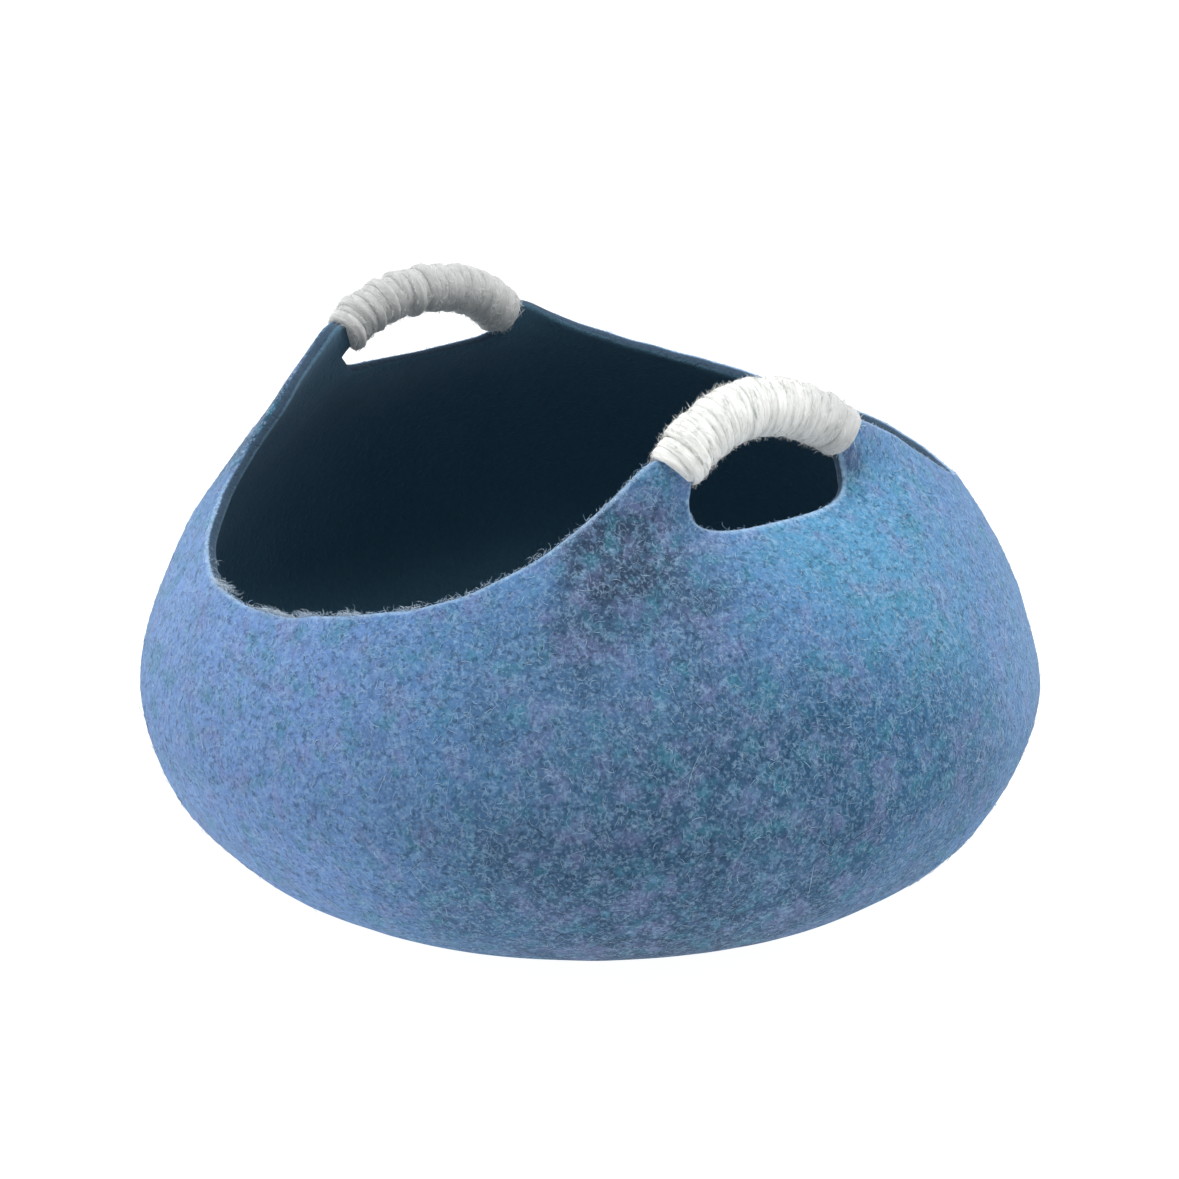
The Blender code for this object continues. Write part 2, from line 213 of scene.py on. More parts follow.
def handle_columns(handle):
    """Rim, slot top, slot floor and base keys of a handle's columns, as angle and height each.

    The strip widens to the neck just inside the end of the yarn, so no gap shows between them.
    """
    radius, _, end = grip_arc(handle)
    beyond = np.array(NECK_PLACES)
    under = np.linspace(end + beyond[-1] / radius, -end - beyond[-1] / radius, 2 * STRIP_STEPS + 1)
    phi = np.r_[end + beyond[:2] / radius, under, -(end + beyond[1::-1] / radius)]
    outward = np.full(len(phi), STRIP_WIDTH / 2)
    inward = outward.copy()
    outward[[1, -2]] = NECK_IN_YARN * handle.grip_across
    inward[[1, -2]] = min(handle.neck_inward, NECK_IN_YARN * handle.grip_across)
    outward[[0, -1]] = NECK_OUTWARD
    inward[[0, -1]] = handle.neck_inward
    rim = grip_yz(handle, phi, outward)
    slot_top = grip_yz(handle, phi, -inward)
    turn = np.linspace(np.pi / 2, -np.pi / 2, OUTLINE_POINTS)
    lift = 1 - np.abs(np.cos(turn)) ** (2 / SLOT_SQUARENESS)
    across = np.sign(turn) * np.abs(np.sin(turn)) ** (2 / SLOT_SQUARENESS)
    outline = np.stack([handle.slot_half * across, handle.slot_corner * lift], axis=-1)
    floor = even_points(outline, np.linspace(0, 1, len(phi))).T + [[handle.middle_y], [handle.slot_floor_z]]
    keys = [(wall_angle(handle, *key), key[1]) for key in (rim, slot_top, floor)]
    if handle.side < 0:
        keys = [(angle[::-1], z[::-1]) for angle, z in keys]
    middle = 0.0 if handle.side > 0 else -180.0
    keys.append((middle + BASE_SPREAD * (keys[FLOOR][0] - middle), np.zeros(len(phi))))
    return keys


def wall_columns(start, end, rim_table, seed):
    """The same keys for the columns of the wall between two necks, ends left out."""
    share = np.linspace(0, 1, WALL_STEPS + 1)
    angles = [np.interp(share, [0, 1], [start[k][0][-1], end[k][0][0]]) for k in range(4)]
    table = ((start[0][0][-1], start[0][1][-1]),) + rim_table + ((end[0][0][0], end[0][1][0]),)
    calm = smooth_step(share / NECK_SHARE) * smooth_step((1 - share) / NECK_SHARE)
    rim_z = smooth_curve(angles[0], table) + RIM_WOBBLE * calm * waves(angles[0], 9.0, seed)
    heights = [rim_z]
    for k, drop in ((SLOT_TOP, BAND_BELOW_RIM), (FLOOR, 2 * BAND_BELOW_RIM)):
        first = rim_z[0] - start[k][1][-1]
        last = rim_z[-1] - end[k][1][0]
        own = np.interp(share, [0, 1], [first, last])
        heights.append(rim_z - own - calm * (drop - own))
    heights.append(np.zeros(len(share)))
    return [(angle[1:-1], z[1:-1]) for angle, z in zip(angles, heights)]


def bowl_columns():
    """All columns round the bowl, and whether the cell after each is open at slot height."""
    right, left = (handle_columns(handle) for handle in HANDLES)
    right_again = [(angle - 360, z) for angle, z in right]
    parts = (right, wall_columns(right, left, RIM_FRONT, 11),
             left, wall_columns(left, right_again, RIM_BACK, 12))
    keys = [np.concatenate([part[k][0] for part in parts]) for k in range(4)]
    heights = [np.concatenate([part[k][1] for part in parts]) for k in range(4)]
    slotted = [np.arange(len(part[0][0])) < (len(part[0][0]) - 1) * is_handle
               for part, is_handle in zip(parts, (1, 0, 1, 0))]
    return keys, heights, np.concatenate(slotted)


def bowl_grid(keys, heights):
    """Grid of outer points: rows from near the middle of the base out, up the wall and to the rim."""
    around = np.radians(keys[BASE])
    circle = np.stack([np.cos(around), np.sin(around), np.zeros(len(around))], axis=-1)
    rows = [circle * BASE_RADIUS * ring / BASE_RINGS for ring in range(1, BASE_RINGS)]
    dense_z = np.linspace(0, RUN_TO_HEIGHT, RUN_STEPS)
    outline = np.stack([round_radius(dense_z), dense_z], axis=-1)
    run = np.r_[0.0, np.cumsum(np.linalg.norm(np.diff(outline, axis=0), axis=1))]
    floor_run = np.interp(heights[FLOOR], dense_z, run)
    for share in np.arange(LOWER_ROWS) / LOWER_ROWS:
        angle = keys[BASE] + share ** 2 * (keys[FLOOR] - keys[BASE])
        rows.append(wall_point(angle, np.interp(share * floor_run, run, dense_z)))
    for low, high, count in ((FLOOR, SLOT_TOP, SLOT_ROWS), (SLOT_TOP, RIM, STRIP_ROWS)):
        for share in np.arange(count) / count:
            rows.append(wall_point(keys[low] + share * (keys[high] - keys[low]),
                                   heights[low] + share * (heights[high] - heights[low])))
    rows.append(wall_point(keys[RIM], heights[RIM]))
    return np.array(rows)


def grid_normals(grid):
    """Outward unit vectors of a grid that closes on itself from last column to first."""
    along = np.roll(grid, -1, axis=1) - np.roll(grid, 1, axis=1)
    return unit(np.cross(np.gradient(grid, axis=0), along))


# --- meshes ---
def make_piece(name, points, face_sets, material, floats=None, uv=None):
    """Mesh object from arrays: faces of several sizes, one number per point for each name in `floats`, and a
    UV place per point."""
    mesh = bpy.data.meshes.new(name)
    corners = np.concatenate([faces.ravel() for faces in face_sets]).astype(np.int32)
    sizes = np.concatenate([np.full(len(faces), faces.shape[1]) for faces in face_sets])
    mesh.vertices.add(len(points))
    mesh.vertices.foreach_set("co", np.ascontiguousarray(points, dtype=np.float32).ravel())
    mesh.loops.add(len(corners))
    mesh.loops.foreach_set("vertex_index", corners)
    mesh.polygons.add(len(sizes))
    mesh.polygons.foreach_set("loop_start", (np.cumsum(sizes) - sizes).astype(np.int32))
    mesh.update(calc_edges=True)
    for label, values in (floats or {}).items():
        layer = mesh.attributes.new(label, 'FLOAT', 'POINT')
        layer.data.foreach_set("value", np.asarray(values, dtype=np.float32))
    if uv is not None:
        layer = mesh.uv_layers.new(name="along_yarn")
        layer.data.foreach_set("uv", np.asarray(uv, dtype=np.float32)[corners].ravel())
    mesh.materials.append(material)
    mesh.shade_smooth()
    piece = bpy.data.objects.new(name, mesh)
    bpy.context.scene.collection.objects.link(piece)
    return piece


def tube_faces(rings, points):
    """Quads between neighbouring rings of points, each ring closed on itself, and triangles that close both
    ends with the two points after the rings' own.  They face outwards where the rings run anticlockwise, as
    seen along the path."""
    index = np.arange(rings * points).reshape(rings, points)
    beside = np.roll(index, -1, axis=1)
    quads = np.stack([index[:-1], index[1:], beside[1:], beside[:-1]], axis=-1).reshape(-1, 4)
    tip = np.full(points, rings * points)
    return quads, np.concatenate([np.stack([tip, index[0], beside[0]], axis=-1),
                                  np.stack([tip + 1, beside[-1], index[-1]], axis=-1)])


# --- the felt shell ---
def felt_shell(material):
    """One closed felt shell, and the grids and marks that the fibres need.

    The outer face is the wall's grid pushed out by two sets of waves.  The inner face is the same grid, one
    felt thickness further in along its normals.  A strip joins them round the rim and the slots.
    """
    keys, heights, slotted = bowl_columns()
    grid = bowl_grid(keys, heights)
    normals = grid_normals(grid)
    rise = smooth_step(grid[..., 2] / FLAT_UP_TO)
    lumps = LUMP_HEIGHT * waves(grid, LUMP_LENGTH, 3) + DIMPLE_HEIGHT * waves(grid, DIMPLE_LENGTH, 4)
    outer = grid + normals * (lumps * rise)[..., None]
    depth = FELT * (1 + THICKNESS_SWING * waves(grid, THICKNESS_LENGTH, 5))
    inner = grid - normals * (depth - DIMPLE_HEIGHT * waves(grid, DIMPLE_LENGTH, 6))[..., None]
    inner[..., 2] = np.maximum(inner[..., 2], FELT * 0.9)

    rows, columns = grid.shape[:2]
    index = np.arange(rows * columns).reshape(rows, columns)
    beside = np.roll(index, -1, axis=1)
    cells = np.stack([index[:-1], index[1:], beside[1:], beside[:-1]], axis=-1)
    is_open = np.zeros(cells.shape[:2], dtype=bool)
    is_open[SLOT_ROW:SLOT_ROW + SLOT_ROWS] = slotted
    quads = cells[~is_open]
    middle = rows * columns
    fan = np.stack([np.full(columns, middle), index[0], beside[0]], axis=-1)

    edges = np.stack([quads, np.roll(quads, -1, axis=1)], axis=-1).reshape(-1, 2)
    edges = np.concatenate([edges, fan[:, 1:]])
    both = edges @ [middle + 1, 1]
    border = edges[~np.isin(both, edges @ [1, middle + 1])]
    start, stop = border.T
    count = middle + 1
    centre = np.zeros((1, 3))
    flat_outer = np.concatenate([outer.reshape(-1, 3), centre])
    flat_inner = np.concatenate([inner.reshape(-1, 3), centre + [0, 0, FELT]])
    half_way = (flat_outer + flat_inner) / 2
    points = np.concatenate([flat_outer, half_way, flat_inner])
    cut_edge = np.concatenate([
        np.stack([stop, start, start + count, stop + count], axis=-1),
        np.stack([stop + count, start + count, start + 2 * count, stop + 2 * count], axis=-1)])
    quads = np.concatenate([quads, quads[:, ::-1] + 2 * count, cut_edge])
    fans = np.concatenate([fan, fan[:, ::-1] + 2 * count])

    layer = np.repeat([0.0, 0.5, 1.0], count)
    rim_points = flat_outer[np.unique(border)]
    nearest = np.min(np.linalg.norm(flat_outer[:, None] - rim_points[None], axis=-1), axis=1)
    used, places = np.unique(np.concatenate([quads.ravel(), fans.ravel()]), return_inverse=True)
    quads, fans = places[:quads.size].reshape(-1, 4), places[quads.size:].reshape(-1, 3)
    piece = make_piece("felt_shell", points[used], [quads, fans], material,
                       {"layer": layer[used], "from_edge": np.tile(nearest, 3)[used]})
    smooth = piece.modifiers.new("rounded edges", 'SUBSURF')
    smooth.levels = smooth.render_levels = 1
    return piece, outer, inner, normals, ~is_open, keys, slotted


# --- wound yarn ---
STRAND_THICK = 0.0041       # a thick, loosely spun strand, pressed flat by the winding
STRAND_WIDE = 1.42          # its width, as a share of the distance between two turns
STEPS_PER_TURN = 44
STRAND_POINTS = 24
STRAND_TIP = 0.001          # length of the cones that close it
TUCK_TURNS = 0.35           # last part of a strand, which goes under its neighbour
TUCK_ALONG = 0.3            # how far along, as a share of the distance between two turns
TUCK_DEPTH = 0.0020         # and how far in
TAIL_NARROWS = 0.45         # how much thinner and narrower it gets there
END_TURNS, END_NARROWS = 0.9, 0.10             # turns over which the winding narrows, and how much
PLIES = ((5, 0.9, 0.022), (9, -1.4, 0.016))    # fibre bundles on a strand: how many, twists a turn, height
PLY_IN_WIDTH, PLY_IN_THICKNESS = 0.4, 4.0      # what that height counts for either way
TURN_WAVES = (1.9, 1.3, 2.6, 0.45)             # lengths (turns) of the waves that make the turns uneven
SWAY_ALONG, SWAY_THICK, SWAY_WIDE = 0.09, 0.10, 0.08      # how much they move, thicken and widen a turn
SWAY_OUT = (0.00025, 0.00010)                  # and how far out two of them push it
WOOL_BETWEEN = 3.7          # metres of yarn between the patterns of two seeds
FIRST_ANGLE = 2.4                              # where round the grip the strand starts
CORE_POINTS = 32
CORE_RINGS = 41
CORE_END = 0.80             # how wide the core is at its ends, as a share
CORE_SHORTER = 0.0016       # how far before the grip's end it stops
CORE_DEPTH = 0.75           # how deep it lies in the winding, in strand thicknesses
CORE_ROUND = 0.012          # radius that its pattern is laid out with
GREY_AND_SHADE_FROM_Y = 0.008         # the left grip is greyed all over, the right one from here: partly grey wool, partly painted shade
GREY_AND_SHADE_REACH = 0.040


def beside_wall(handle, phi, offset, out):
    """Point of the grip at angle phi, `offset` outside its centre line, `out` in front of the outer face."""
    def on_wall(at, away):
        y, z = grip_yz(handle, at, away)
        return wall_point(wall_angle(handle, y, z), z)

    along = on_wall(phi + SMALL_TURN, offset) - on_wall(phi - SMALL_TURN, offset)
    across = on_wall(phi, offset + SMALL_STEP) - on_wall(phi, offset - SMALL_STEP)
    normal = unit(np.cross(along, across) * handle.side)
    return on_wall(phi, offset) + normal * out[..., None]


def strand(handle, seed):
    """The strand of a winding: a flattened tube along an uneven helix round the grip.

    The helix runs evenly along the grip's arc.  Waves move each turn along, in and out, and change its width.
    Low ridges, sines of the angle round the tube plus a twist along it, stand for bundles of fibres, and both
    tails narrow and slip under the turn beside them.
    """
    radius, _, end = grip_arc(handle)
    turns = np.linspace(0, YARN_TURNS, YARN_TURNS * STEPS_PER_TURN + 1)
    share = turns / YARN_TURNS
    pitch = 2 * end * radius / YARN_TURNS
    to_end = np.minimum(turns, YARN_TURNS - turns)
    tucked = 1 - smooth_step(to_end / TUCK_TURNS)
    loose = [waves(turns, length, seed + number) for number, length in enumerate(TURN_WAVES)]
    run = (0.5 - share) * 2 * (end * radius - 0.5 * pitch)
    run = run + SWAY_ALONG * pitch * loose[0] * smooth_step(to_end)
    run = run + np.sign(share - 0.5) * tucked * TUCK_ALONG * pitch
    thick = STRAND_THICK * (1 + SWAY_THICK * loose[1]) * (1 - TAIL_NARROWS * tucked) / 2
    lift = SWAY_OUT[0] * loose[1] + SWAY_OUT[1] * loose[3] - TUCK_DEPTH * tucked
    end_round = 1 - END_NARROWS * smooth_step(1 - to_end / END_TURNS)
    around = 2 * np.pi * turns + FIRST_ANGLE
    reach_across = (handle.grip_across / 2 - STRAND_THICK / 2) * end_round + lift
    reach_through = (handle.grip_through / 2 - STRAND_THICK / 2) * end_round + lift
    phi = run / radius
    spine = beside_wall(handle, phi, 0 * phi, 0 * phi - FELT / 2)
    path = beside_wall(handle, phi, reach_across * np.cos(around), reach_through * np.sin(around) - FELT / 2)
    ahead = unit(np.gradient(path, axis=0))
    out = path - spine
    out = unit(out - (out * ahead).sum(-1, keepdims=True) * ahead)
    side = np.cross(ahead, out)
    wide = pitch * STRAND_WIDE / 2 * (1 + SWAY_WIDE * loose[2]) * (1 - TAIL_NARROWS * tucked)
    section = np.linspace(0, 2 * np.pi, STRAND_POINTS, endpoint=False)
    ridges = sum(height * np.sin(count * (section + loose[0][:, None]) + 2 * np.pi * twist * turns[:, None])
                 for count, twist, height in PLIES)
    tube_side = wide[:, None] * (1 + PLY_IN_WIDTH * ridges) * np.cos(section)
    tube_out = thick[:, None] * (1 + PLY_IN_THICKNESS * ridges) * np.sin(section)
    tube = path[:, None] + side[:, None] * tube_side[..., None] + out[:, None] * tube_out[..., None]
    tips = path[[0, -1]] - ahead[[0, -1]] * [[STRAND_TIP], [-STRAND_TIP]]
    points = np.concatenate([tube.reshape(-1, 3), tips])
    length = np.r_[0.0, np.cumsum(np.linalg.norm(np.diff(path, axis=0), axis=1))]
    across = pitch * STRAND_WIDE / 2 * np.abs(section - np.pi) / 2
    length = length[:, None] + WOOL_BETWEEN * seed
    uv = np.stack(np.broadcast_arrays(length, across[None]), axis=-1).reshape(-1, 2)
    uv = np.concatenate([uv, uv[[0, -1]]])
    return (points, *tube_faces(len(turns), STRAND_POINTS), uv), (tube, out, ahead)


def core(handle):
    """Round filling under the strands, closed at both ends by a flat cone."""
    radius, _, end = grip_arc(handle)
    run = np.linspace(1, -1, CORE_RINGS) * (end - CORE_SHORTER / radius)
    turn = np.linspace(0, 2 * np.pi, CORE_POINTS, endpoint=False)
    reach = np.array([handle.grip_across, handle.grip_through]) / 2 - CORE_DEPTH * STRAND_THICK
    small = np.r_[CORE_END, np.ones(CORE_RINGS - 2), CORE_END][:, None]
    rings = beside_wall(handle, np.repeat(run[:, None], CORE_POINTS, axis=1),
                        small * reach[0] * np.cos(turn), small * reach[1] * np.sin(turn) - FELT / 2)
    tips = rings[[0, -1]].mean(axis=1)
    quads, caps = tube_faces(len(run), CORE_POINTS)
    if handle.side < 0:
        # on the left grip the rings run the other way round
        quads, caps = quads[:, ::-1], caps[:, ::-1]
    uv = np.stack(np.broadcast_arrays(run[:, None] * radius, turn[None] * CORE_ROUND), axis=-1).reshape(-1, 2)
    return np.concatenate([rings.reshape(-1, 3), tips]), quads, caps, np.concatenate([uv, uv[[0, -1]]])


def wound_grip(handle, material, seed):
    """The core and its strand as one piece, and the strand's surface for the fuzz to grow from."""
    wound, surface = strand(handle, seed)
    bodies = [core(handle), wound]
    starts = [0, len(bodies[0][0])]
    points = np.concatenate([body[0] for body in bodies])
    quads = np.concatenate([body[1] + start for body, start in zip(bodies, starts)])
    caps = np.concatenate([body[2] + start for body, start in zip(bodies, starts)])
    uv = np.concatenate([body[3] for body in bodies])
    # greying, partly grey wool and partly painted shade: all over the left grip, towards +Y on the right one
    grey_wool_and_shade = np.ones(len(points))
    if handle.side > 0:
        grey_wool_and_shade = smooth_step((points[:, 1] - GREY_AND_SHADE_FROM_Y) / GREY_AND_SHADE_REACH)
    piece = make_piece("wound_grip_" + handle.name, points, [quads, caps], material,
                       {"grey_wool_and_shade": grey_wool_and_shade}, uv)
    return piece, surface


# --- loose fibres ---
FIBRE_RINGS = 5
FIBRE_SIDES = 3
LOOSE_COUNT, LONG_COUNT = 5200, 90
LOOSE_FROM_Z = 0.014        # none starts lower than this
LONG_FROM_Z, LONG_TO_Z = 0.035, 0.14
NAP_COUNT = 3600
NAP_IN_SLOTS = 0.16         # share of the nap that grows round the slots
FUZZ_COUNT = 5200           # on each grip
FUZZ_FLAT = 0.6             # share of the fuzz that lies along the strand
# tufts of wisps on the open rim: angle (degrees), half width (degrees), how many
TUFTS = ((-64, 1.2, 70), (-73, 1.2, 100), (-81, 1.4, 140), (-87, 1.6, 170), (-101, 1.4, 130), (-50, 12.0, 50),
         (-85, 14.0, 60), (-108, 3.0, 14))


def fibres(name, root, heading, up, length, width, curl, rise, material):
    """Many thin curved fibres as one piece: three-sided spindles with a point at each end.

    Each follows an arc of the given curl (1/m) in the plane of its heading and the direction beside it, and
    lifts off by `rise` times the square of the share of its length.
    """
    share = np.linspace(0, 1, FIBRE_RINGS + 2)[None, :, None]
    beside = unit(np.cross(up, heading))[:, None]
    heading, up, root = heading[:, None], up[:, None], root[:, None]
    run = share * length[:, None, None]
    bend = curl[:, None, None]
    bend = np.where(np.abs(bend) < 1.0, 1.0, bend)
    path = (root + heading * np.sin(bend * run) / bend + beside * (1 - np.cos(bend * run)) / bend
            + up * rise[:, None, None] * share ** 2)
    ahead = unit(np.gradient(path, axis=1))
    over = unit(up - (up * ahead).sum(-1, keepdims=True) * ahead)
    flank = np.cross(ahead, over)
    turn = np.linspace(0, 2 * np.pi, FIBRE_SIDES, endpoint=False)
    taper = width[:, None] * np.sin(np.pi * np.linspace(0.12, 0.88, FIBRE_RINGS)) ** 0.5 / 2
    rings = path[:, 1:-1, None] + taper[..., None, None] * (
        flank[:, 1:-1, None] * np.cos(turn)[:, None] + over[:, 1:-1, None] * np.sin(turn)[:, None])
    count = len(root)
    points = np.concatenate([rings.reshape(count, -1, 3), path[:, [0]], path[:, [-1]]], axis=1)
    size = points.shape[1]
    shift = (np.arange(count) * size)[:, None, None]
    face_sets = [(faces + shift).reshape(-1, faces.shape[1])
                 for faces in tube_faces(FIBRE_RINGS, FIBRE_SIDES)]
    tone = np.repeat(np.random.default_rng(count).uniform(0, 1, count), size)
    return make_piece(name, points.reshape(-1, 3), face_sets, material, {"tone": tone})


def tangents(normal, chance):
    """Random unit vectors at right angles to each normal."""
    return unit(np.cross(normal, chance.normal(size=normal.shape)))


def points_on(grid, normals, allowed, count, chance):
    """Random points, spread evenly by area over the allowed cells of a grid, and the normals there."""
    corners = [grid[:-1], grid[1:], np.roll(grid, -1, axis=1)[1:], np.roll(grid, -1, axis=1)[:-1]]
    area = np.linalg.norm(np.cross(corners[2] - corners[0], corners[3] - corners[1]), axis=-1) * allowed
    row, column = np.unravel_index(chance.choice(area.size, count, p=(area / area.sum()).ravel()), area.shape)
    u, v = chance.uniform(size=(2, count, 1))
    a, b, c, d = (corner[row, column] for corner in corners)
    spot = a * (1 - u) * (1 - v) + b * u * (1 - v) + c * u * v + d * (1 - u) * v
    return spot, normals[row, column]


def loose_fibres(outer, normals, allowed, material):
    """Pale fibres that lie on the outside of the felt, most flat, a few with one end free, and a few long."""
    chance = np.random.default_rng(21)
    allowed = allowed & (outer[:-1, :, 2] > LOOSE_FROM_Z)
    count, few = LOOSE_COUNT, LONG_COUNT
    root, up = points_on(outer, normals, allowed, count, chance)
    # the long ones stay clear of the slots and of the base
    between_first = np.argsort((root[:, 2] > LONG_TO_Z) | (root[:, 2] < LONG_FROM_Z), kind="stable")
    root, up = root[between_first], up[between_first]
    length = chance.uniform(0.003, 0.008, count)
    length[:few] = chance.uniform(0.014, 0.028, few)
    curl = chance.uniform(-420, 420, count)
    curl[:few] *= 0.08
    free = chance.uniform(size=count) < 0.10
    rise = np.where(free, chance.uniform(0.0006, 0.0022, count), chance.uniform(-0.0002, 0.0002, count))
    rise[:few] = 0.0003
    return fibres("loose_fibres", root + up * 0.00010, tangents(up, chance), up, length,
                  chance.uniform(0.00012, 0.00030, count), curl, rise, material)


def rim_wisps(outer, inner, keys, material):
    """Curly wisps along the open rim, in tufts, which lean along it and inwards."""
    chance = np.random.default_rng(22)
    middle, spread = (np.repeat([tuft[k] for tuft in TUFTS], [tuft[2] for tuft in TUFTS]) for k in (0, 1))
    count = len(middle)
    angle = middle + chance.normal(size=count) * spread * 0.6
    column = np.argmin(np.abs(keys[RIM][None] - angle[:, None]), axis=1)
    share = chance.uniform(size=(count, 1))
    into = chance.uniform(0.0, 1.0, size=(count, 1))
    beside = (column + 1) % outer.shape[1]
    start = outer[-1, column] + share * (outer[-1, beside] - outer[-1, column])
    across = unit(inner[-1, column] - outer[-1, column])
    root = start + across * FELT * into
    along = unit(outer[-1, beside] - outer[-1, column]) * chance.choice([-1.0, 1.0], size=(count, 1))
    up = unit(outer[-1, column] - outer[-2, column])
    heading = unit(along + across * chance.uniform(-0.3, 0.6, (count, 1))
                   + up * chance.uniform(0.0, 1.3, (count, 1)))
    up = unit(up - (up * heading).sum(-1, keepdims=True) * heading)
    length = chance.uniform(0.003, 0.009, count)
    curl = chance.uniform(260, 620, count) * chance.choice([-1.0, 1.0], size=count)
    return fibres("rim_wisps", root - up * 0.0004, heading, up, length,
                  chance.uniform(0.00014, 0.00026, count), curl, chance.uniform(0.0, 0.0026, count), material)


def edge_nap(outer, normals, slotted, material):
    """Short pale fibres that fluff up the outer corner of the rim and of the slots, lying along it."""
    chance = np.random.default_rng(23)
    count = NAP_COUNT
    at_slot = chance.uniform(size=count) < NAP_IN_SLOTS
    column = np.where(at_slot, chance.choice(np.flatnonzero(slotted), count),
                      chance.integers(0, outer.shape[1], count))
    row = np.where(at_slot, SLOT_ROW, len(outer) - 1)
    beside = (column + 1) % outer.shape[1]
    share = chance.uniform(size=(count, 1))
    start = outer[row, column] + share * (outer[row, beside] - outer[row, column])
    up = unit(outer[row, column] - outer[row - 1, column])
    away = normals[row, column]
    root = (start - up * chance.uniform(-0.0003, 0.0014, (count, 1))
            - away * chance.uniform(-0.0001, 0.0012, (count, 1)))
    along = unit(outer[row, beside] - outer[row, column]) * chance.choice([-1.0, 1.0], size=(count, 1))
    heading = unit(along + 0.45 * chance.normal(size=(count, 3)))
    # the back, the left and the slots are trimmed closer
    close = np.maximum.reduce([smooth_step(start[:, 1] / 0.05), smooth_step((-start[:, 0] - 0.07) / 0.04),
                               0.6 * at_slot])
    lift = unit(up + away * chance.uniform(-0.5, 1.0, (count, 1)))
    lift = unit(lift - (lift * heading).sum(-1, keepdims=True) * heading)
    length = chance.uniform(0.0012, 0.0038, count) * (1 - 0.5 * close)
    width = chance.uniform(0.00012, 0.00022, count)
    curl = chance.uniform(-520, 520, count)
    rise = chance.uniform(0.0, 0.0006, count) * (1 - close)
    return fibres("edge_nap", root - up * 0.0009 * close[:, None], heading, lift, length, width, curl, rise,
                  material)


def yarn_fuzz(handle, surface, material, seed):
    """Fine fibres that stand off the wound yarn, leaning along its strand."""
    chance = np.random.default_rng(seed)
    tube, out, ahead = surface
    count, tail = FUZZ_COUNT, STEPS_PER_TURN // 4
    step = chance.integers(tail, len(tube) - tail, count)
    root = tube[step, chance.integers(1, STRAND_POINTS // 2, count)]
    up = out[step]
    lean = ahead[step] * chance.choice([-1.0, 1.0], size=(count, 1))
    flat = chance.uniform(size=count) < FUZZ_FLAT
    stand = np.where(flat, chance.uniform(-0.05, 0.12, count), chance.uniform(0.1, 0.8, count))
    heading = unit(lean + up * stand[:, None] + 0.30 * tangents(up, chance))
    up = unit(up - (up * heading).sum(-1, keepdims=True) * heading)
    length = np.where(flat, chance.uniform(0.004, 0.009, count), chance.uniform(0.0012, 0.0042, count))
    rise = np.where(flat, -0.8 * length ** 2 / handle.grip_across, chance.uniform(-0.0005, 0.0018, count))
    width = np.where(flat, chance.uniform(0.00009, 0.00018, count), chance.uniform(0.00014, 0.00023, count))
    return fibres("yarn_fuzz_" + handle.name, root - up * 0.00005, heading, up, length, width,
                  chance.uniform(-340, 340, count), rise, material)


# --- materials ---
SMOOTH = {"interpolation_type": 'SMOOTHSTEP'}
COLOURS = {"data_type": 'RGBA', "out": 2}      # a Mix node that mixes colours, and its colour output


def linear(code):
    """Linear colour, with alpha 1, from an sRGB hex code."""
    value = np.array([int(code[i:i + 2], 16) for i in (1, 3, 5)]) / 255
    value = np.where(value <= 0.04045, value / 12.92, ((value + 0.055) / 1.055) ** 2.4)
    return (*value.tolist(), 1.0)


def node(tree, kind, inputs=None, out=0, **settings):
    """Adds one shader node and gives its output `out`.  Inputs go by name or number, and are values or the
    outputs to link from."""
    made = tree.nodes.new("ShaderNode" + kind)
    for name, value in settings.items():
        setattr(made, name, value)
    for name, value in (inputs or {}).items():
        if isinstance(value, bpy.types.NodeSocket):
            tree.links.new(value, made.inputs[name])
        else:
            made.inputs[name].default_value = value
    return made.outputs[out] if made.outputs else None


def new_material(name):
    """Empty material, and `node` for its tree."""
    material = bpy.data.materials.new(name)
    material.use_nodes = True
    material.node_tree.nodes.clear()
    return material, partial(node, material.node_tree)


# Batts of wool laid over the outside, and patches of painted shade: middle (m), reach (m), share, colour
BATTS_AND_SHADE_PATCHES = (
    ((-0.030, -0.210, 0.110), 0.200, 0.85, "#7091ca"),     # lavender blue, front left
    ((0.185, -0.110, 0.100), 0.150, 0.80, "#436283"),      # slate blue, in front
    ((0.215, 0.010, 0.100), 0.110, 0.85, "#215679"),       # teal slate, towards the right
    ((0.175, -0.090, 0.022), 0.165, 0.82, "#274562"),      # darker slate, low in front, partly painted shade towards the base
    ((0.150, -0.080, -0.010), 0.085, 0.70, "#1b334c"),     # painted shade at the base in front, darkest
    ((0.172, 0.040, 0.190), 0.085, 0.75, "#4f93b8"),       # bright teal blue, under the right slot
    ((0.151, -0.090, 0.206), 0.058, 0.92, "#2b3649"),      # mauve grey beside the front neck, partly painted shade of the hollow there
    ((0.146, 0.050, 0.228), 0.016, 0.75, "#3a3f5c"),       # mauve grey painted shade under the yarn's end, at the far end of the right slot
    ((-0.112, -0.108, 0.228), 0.080, 0.92, "#1f3b4b"),     # dark teal, on the left rim
)
PATCH_FRINGE = 1 / 22        # size (m) of their ragged outlines
CALM = 0.25                 # how much of the plainer blend shows through
